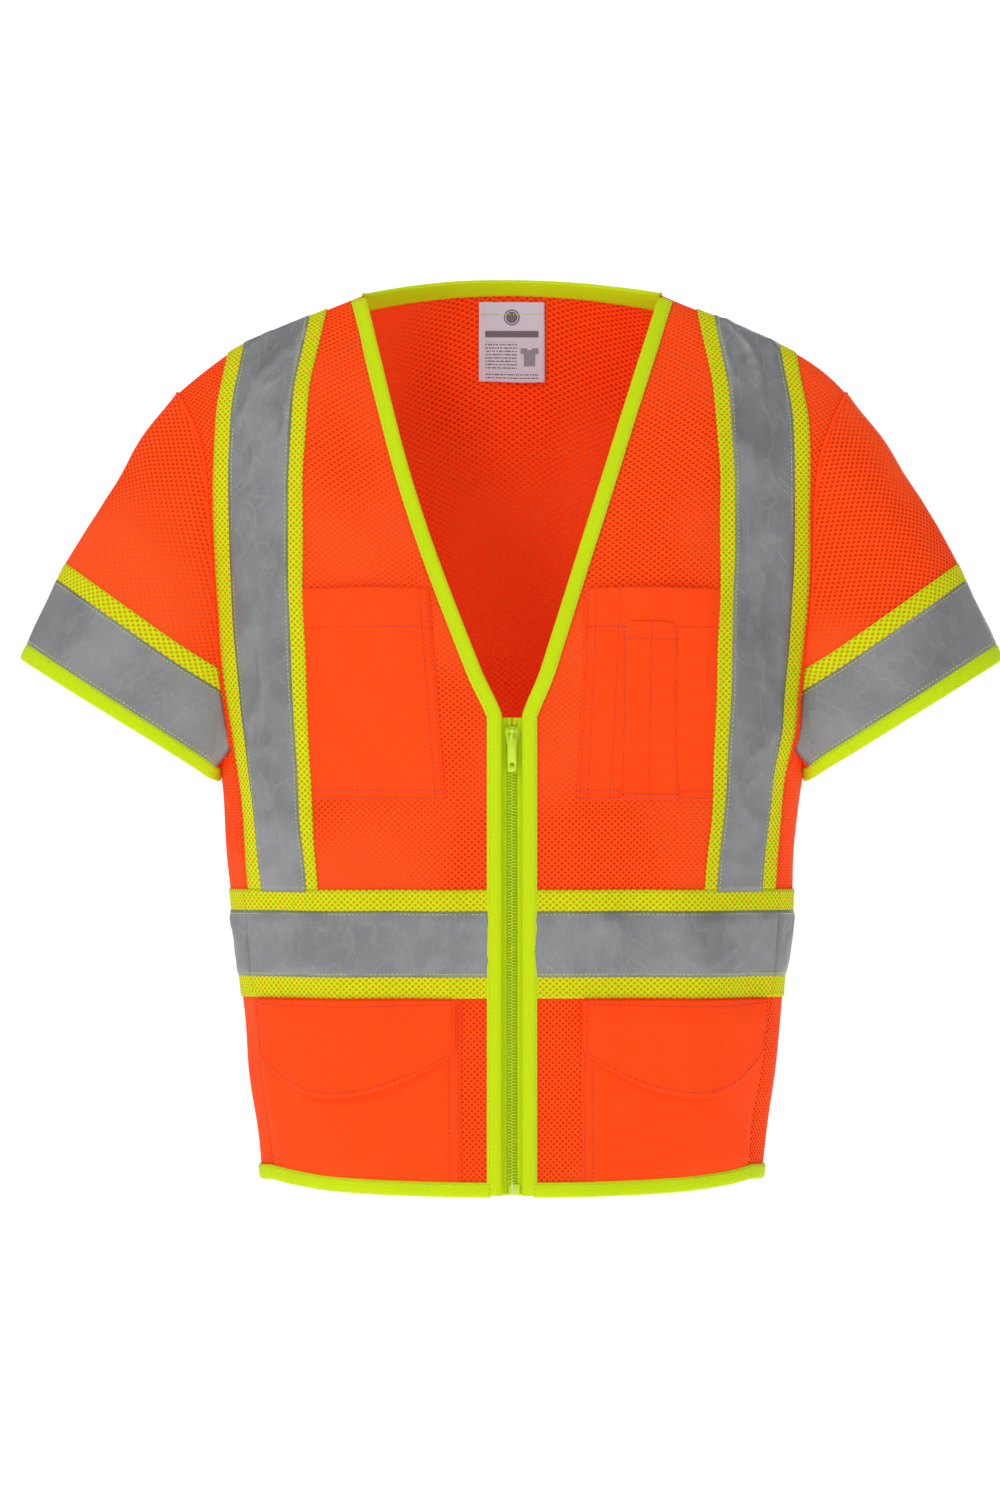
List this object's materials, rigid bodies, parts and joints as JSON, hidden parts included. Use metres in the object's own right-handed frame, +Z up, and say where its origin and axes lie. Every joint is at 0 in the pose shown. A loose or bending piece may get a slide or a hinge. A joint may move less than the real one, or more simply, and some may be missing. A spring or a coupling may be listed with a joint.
{
  "type": "high-visibility vest",
  "caption": "Short-sleeved hi-vis mesh vest with V neck, separating zip, reflective tape over lime bands, chest and flapped lower pockets.",
  "frame": {"origin": "midway between the two neck points of the shoulder seams, at their height, where the vest sits on the wearer's shoulders", "axes": "+Z up, +X towards the wearer's left, -Y out of the front"},
  "size_m": [0.77, 0.2566, 0.7178],
  "materials": {
    "orange_mesh": "matte knitted mesh",
    "orange_woven": "matte fine-ribbed woven",
    "lime_knit": "matte knit",
    "silver_tape": "satin retroreflective",
    "label_cloth": "matte print",
    "hook_and_loop": "fuzzy",
    "zip_plastic": "satin moulded"
  },
  "bodies": {
    "shell": {"back_panel": "orange_mesh", "back_neck_binding": "lime_knit", "back_hem_binding": "lime_knit", "back_waist_band": "lime_knit", "back_waist_tape": "silver_tape", "back_stripe_band_right": "lime_knit", "back_stripe_band_left": "lime_knit", "back_stripe_tape_right": "silver_tape", "back_stripe_tape_left": "silver_tape", "size_label": "label_cloth", "sleeve_right": "orange_mesh", "sleeve_left": "orange_mesh", "sleeve_band_right": "lime_knit", "sleeve_band_left": "lime_knit", "sleeve_tape_right": "silver_tape", "sleeve_tape_left": "silver_tape", "sleeve_binding_right": "lime_knit", "sleeve_binding_left": "lime_knit"},
    "front_left": {"front_panel_left": "orange_mesh", "front_binding_left": "lime_knit", "hem_binding_left": "lime_knit", "stripe_band_left": "lime_knit", "stripe_tape_left": "silver_tape", "waist_band_left": "lime_knit", "waist_tape_left": "silver_tape", "chest_pocket_left": "orange_woven", "pen_pocket_left": "orange_woven", "lower_pocket_left": "orange_woven", "pocket_loop_patch_left": "hook_and_loop", "zipper_tape_left": "lime_knit", "zipper_teeth_left": "zip_plastic", "top_stop_left": "zip_plastic", "retainer_box": "zip_plastic"},
    "front_right": {"front_panel_right": "orange_mesh", "front_binding_right": "lime_knit", "hem_binding_right": "lime_knit", "stripe_band_right": "lime_knit", "stripe_tape_right": "silver_tape", "waist_band_right": "lime_knit", "waist_tape_right": "silver_tape", "chest_pocket_right": "orange_woven", "lower_pocket_right": "orange_woven", "pocket_loop_patch_right": "hook_and_loop", "zipper_tape_right": "lime_knit", "zipper_teeth_right": "zip_plastic", "top_stop_right": "zip_plastic", "insertion_pin": "zip_plastic"},
    "slider": {"zipper_slider": "zip_plastic"},
    "pull_tab": {"pull_tab": "zip_plastic"},
    "flap_left": {"pocket_flap_left": "orange_woven", "flap_hook_patch_left": "hook_and_loop"},
    "flap_right": {"pocket_flap_right": "orange_woven", "flap_hook_patch_right": "hook_and_loop"}
  },
  "joints": [
    {"name": "front_left_open", "type": "hinge", "parent": "shell", "child": "front_left", "pos_m": [0.218, -0.048, -0.376], "axis": [0.0891, -0.0123, 0.9959], "range_deg": [0, 45]},
    {"name": "front_right_open", "type": "hinge", "parent": "shell", "child": "front_right", "pos_m": [-0.218, -0.048, -0.376], "axis": [-0.0891, -0.0123, 0.9959], "range_deg": [-45, 0]},
    {"name": "slider_travel", "type": "slide", "parent": "front_left", "child": "slider", "axis": [0, 0.0322, -0.9995], "range_m": [0, 0.338]},
    {"name": "pull_tab_swing", "type": "hinge", "parent": "slider", "child": "pull_tab", "pos_m": [0, -0.13551, -0.34025], "axis": [-1, 0, 0], "range_deg": [0, 150]},
    {"name": "flap_left_lift", "type": "hinge", "parent": "front_left", "child": "flap_left", "pos_m": [0.13749, -0.10478, -0.5495], "axis": [-0.8797, -0.4756, 0], "range_deg": [0, 120]},
    {"name": "flap_right_lift", "type": "hinge", "parent": "front_right", "child": "flap_right", "pos_m": [-0.13181, -0.10752, -0.5495], "axis": [-0.8909, 0.4541, 0], "range_deg": [0, 120]}
  ],
  "couplings": [
    {"joint": "front_right_open", "follows": "front_left_open", "ratio": -1},
    {"joint": "slider_travel", "follows": "front_left_open", "m_per_rad": 0.43015}
  ]
}
